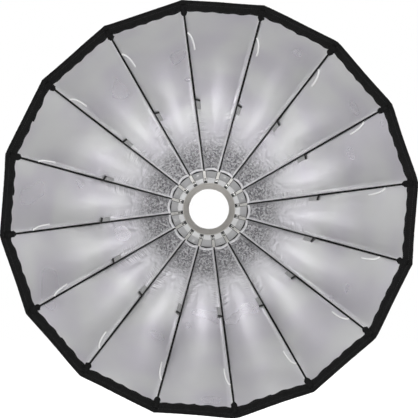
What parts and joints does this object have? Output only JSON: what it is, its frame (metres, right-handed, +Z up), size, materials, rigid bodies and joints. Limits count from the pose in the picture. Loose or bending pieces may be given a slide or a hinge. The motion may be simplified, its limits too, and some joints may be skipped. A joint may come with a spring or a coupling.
{
  "type": "octabox",
  "caption": "Deep parabolic octabox: folding sprung rods on a turning hub carry a silver fabric bowl with a dark lip, and a bayonet collar takes a studio lamp.",
  "frame": {"origin": "centre of the lamp bore, on the collar's seat face that meets the lamp", "axes": "+Y along the bore towards the lamp, so the mouth faces -Y; +Z up; +X to the right seen from the mouth side"},
  "size_m": [0.8982, 0.4791, 0.8982],
  "materials": {
    "silver_fabric": "satin",
    "black_fabric": "matte",
    "white_tape": "matte",
    "rod_black": "satin",
    "clip_steel": "satin",
    "hub_grey": "satin",
    "plate_light": "satin",
    "collar_aluminium": "satin",
    "retainer_warm": "satin",
    "screw_black": "satin",
    "pin_steel": "polished",
    "spring_steel": "satin",
    "pad_nylon": "matte",
    "knob_black": "matte"
  },
  "bodies": {
    "collar": {"mount_ring": "collar_aluminium", "mount_retainer_ring": "retainer_warm"},
    "hub": {"hub_housing": "hub_grey", "hub_front_plate": "plate_light", "fabric_clamp_ring": "hub_grey", "fabric_boot": "black_fabric", "hub_screws": "screw_black", "rib_pivot_pins": "pin_steel", "clip_springs": "spring_steel"},
    "brake": {"brake_pad": "pad_nylon"},
    "knob": {"lock_screw": "pin_steel", "lock_knob": "knob_black"},
    "rib_01": {"rib_rod_01": "rod_black", "rib_clip_01": "clip_steel", "gore_01": "silver_fabric"},
    "rib_02": {"rib_rod_02": "rod_black", "rib_clip_02": "clip_steel", "gore_02": "silver_fabric"},
    "rib_03": {"rib_rod_03": "rod_black", "rib_clip_03": "clip_steel", "gore_03": "silver_fabric"},
    "rib_04": {"rib_rod_04": "rod_black", "rib_clip_04": "clip_steel", "gore_04": "silver_fabric"},
    "rib_05": {"rib_rod_05": "rod_black", "rib_clip_05": "clip_steel", "gore_05": "silver_fabric"},
    "rib_06": {"rib_rod_06": "rod_black", "rib_clip_06": "clip_steel", "gore_06": "silver_fabric"},
    "rib_07": {"rib_rod_07": "rod_black", "rib_clip_07": "clip_steel", "gore_07": "silver_fabric"},
    "rib_08": {"rib_rod_08": "rod_black", "rib_clip_08": "clip_steel", "gore_08": "silver_fabric"},
    "rib_09": {"rib_rod_09": "rod_black", "rib_clip_09": "clip_steel", "gore_09": "silver_fabric"},
    "rib_10": {"rib_rod_10": "rod_black", "rib_clip_10": "clip_steel", "gore_10": "silver_fabric"},
    "rib_11": {"rib_rod_11": "rod_black", "rib_clip_11": "clip_steel", "gore_11": "silver_fabric"},
    "rib_12": {"rib_rod_12": "rod_black", "rib_clip_12": "clip_steel", "gore_12": "silver_fabric"},
    "rib_13": {"rib_rod_13": "rod_black", "rib_clip_13": "clip_steel", "gore_13": "silver_fabric"},
    "rib_14": {"rib_rod_14": "rod_black", "rib_clip_14": "clip_steel", "gore_14": "silver_fabric"},
    "rib_15": {"rib_rod_15": "rod_black", "rib_clip_15": "clip_steel", "gore_15": "silver_fabric"},
    "rib_16": {"rib_rod_16": "rod_black", "rib_clip_16": "clip_steel", "gore_16": "silver_fabric"}
  },
  "joints": [
    {"name": "hub_turn", "type": "hinge", "parent": "collar", "child": "hub", "pos_m": [0, -0.0125, 0], "axis": [0, 1, 0], "continuous": true},
    {"name": "brake_slide", "type": "slide", "parent": "hub", "child": "brake", "axis": [0.9976, 0, -0.0698], "range_m": [0, 0.0015]},
    {"name": "knob_turn", "type": "hinge", "parent": "brake", "child": "knob", "pos_m": [0.08978, -0.0125, -0.00628], "axis": [0.9976, 0, -0.0698], "range_deg": [0, 540]},
    {"name": "rib_fold_01", "type": "hinge", "parent": "hub", "child": "rib_01", "pos_m": [0.01888, -0.028, 0.06948], "axis": [0.965, 0, -0.2622], "range_deg": [0, 40.6], "deforming": ["gore_01"]},
    {"name": "rib_fold_02", "type": "hinge", "parent": "hub", "child": "rib_02", "pos_m": [0.04403, -0.028, 0.05697], "axis": [0.7912, 0, -0.6115], "range_deg": [0, 40.6], "deforming": ["gore_02"]},
    {"name": "rib_fold_03", "type": "hinge", "parent": "hub", "child": "rib_03", "pos_m": [0.06248, -0.028, 0.03578], "axis": [0.497, 0, -0.8678], "range_deg": [0, 40.6], "deforming": ["gore_03"]},
    {"name": "rib_fold_04", "type": "hinge", "parent": "hub", "child": "rib_04", "pos_m": [0.07142, -0.028, 0.00915], "axis": [0.1271, 0, -0.9919], "range_deg": [0, 40.6], "deforming": ["gore_04"]},
    {"name": "rib_fold_05", "type": "hinge", "parent": "hub", "child": "rib_05", "pos_m": [0.06948, -0.028, -0.01888], "axis": [-0.2622, 0, -0.965], "range_deg": [0, 40.6], "deforming": ["gore_05"]},
    {"name": "rib_fold_06", "type": "hinge", "parent": "hub", "child": "rib_06", "pos_m": [0.05697, -0.028, -0.04403], "axis": [-0.6115, 0, -0.7912], "range_deg": [0, 40.6], "deforming": ["gore_06"]},
    {"name": "rib_fold_07", "type": "hinge", "parent": "hub", "child": "rib_07", "pos_m": [0.03578, -0.028, -0.06248], "axis": [-0.8678, 0, -0.497], "range_deg": [0, 40.6], "deforming": ["gore_07"]},
    {"name": "rib_fold_08", "type": "hinge", "parent": "hub", "child": "rib_08", "pos_m": [0.00915, -0.028, -0.07142], "axis": [-0.9919, 0, -0.1271], "range_deg": [0, 40.6], "deforming": ["gore_08"]},
    {"name": "rib_fold_09", "type": "hinge", "parent": "hub", "child": "rib_09", "pos_m": [-0.01888, -0.028, -0.06948], "axis": [-0.965, 0, 0.2622], "range_deg": [0, 40.6], "deforming": ["gore_09"]},
    {"name": "rib_fold_10", "type": "hinge", "parent": "hub", "child": "rib_10", "pos_m": [-0.04403, -0.028, -0.05697], "axis": [-0.7912, 0, 0.6115], "range_deg": [0, 40.6], "deforming": ["gore_10"]},
    {"name": "rib_fold_11", "type": "hinge", "parent": "hub", "child": "rib_11", "pos_m": [-0.06248, -0.028, -0.03578], "axis": [-0.497, 0, 0.8678], "range_deg": [0, 40.6], "deforming": ["gore_11"]},
    {"name": "rib_fold_12", "type": "hinge", "parent": "hub", "child": "rib_12", "pos_m": [-0.07142, -0.028, -0.00915], "axis": [-0.1271, 0, 0.9919], "range_deg": [0, 40.6], "deforming": ["gore_12"]},
    {"name": "rib_fold_13", "type": "hinge", "parent": "hub", "child": "rib_13", "pos_m": [-0.06948, -0.028, 0.01888], "axis": [0.2622, 0, 0.965], "range_deg": [0, 40.6], "deforming": ["gore_13"]},
    {"name": "rib_fold_14", "type": "hinge", "parent": "hub", "child": "rib_14", "pos_m": [-0.05697, -0.028, 0.04403], "axis": [0.6115, 0, 0.7912], "range_deg": [0, 40.6], "deforming": ["gore_14"]},
    {"name": "rib_fold_15", "type": "hinge", "parent": "hub", "child": "rib_15", "pos_m": [-0.03578, -0.028, 0.06248], "axis": [0.8678, 0, 0.497], "range_deg": [0, 40.6], "deforming": ["gore_15"]},
    {"name": "rib_fold_16", "type": "hinge", "parent": "hub", "child": "rib_16", "pos_m": [-0.00915, -0.028, 0.07142], "axis": [0.9919, 0, 0.1271], "range_deg": [0, 40.6], "deforming": ["gore_16"]}
  ],
  "couplings": [
    {"joint": "knob_turn", "follows": "brake_slide", "rad_per_m": 6283},
    {"joint": "rib_fold_02", "follows": "rib_fold_01", "ratio": 1},
    {"joint": "rib_fold_03", "follows": "rib_fold_01", "ratio": 1},
    {"joint": "rib_fold_04", "follows": "rib_fold_01", "ratio": 1},
    {"joint": "rib_fold_05", "follows": "rib_fold_01", "ratio": 1},
    {"joint": "rib_fold_06", "follows": "rib_fold_01", "ratio": 1},
    {"joint": "rib_fold_07", "follows": "rib_fold_01", "ratio": 1},
    {"joint": "rib_fold_08", "follows": "rib_fold_01", "ratio": 1},
    {"joint": "rib_fold_09", "follows": "rib_fold_01", "ratio": 1},
    {"joint": "rib_fold_10", "follows": "rib_fold_01", "ratio": 1},
    {"joint": "rib_fold_11", "follows": "rib_fold_01", "ratio": 1},
    {"joint": "rib_fold_12", "follows": "rib_fold_01", "ratio": 1},
    {"joint": "rib_fold_13", "follows": "rib_fold_01", "ratio": 1},
    {"joint": "rib_fold_14", "follows": "rib_fold_01", "ratio": 1},
    {"joint": "rib_fold_15", "follows": "rib_fold_01", "ratio": 1},
    {"joint": "rib_fold_16", "follows": "rib_fold_01", "ratio": 1}
  ]
}
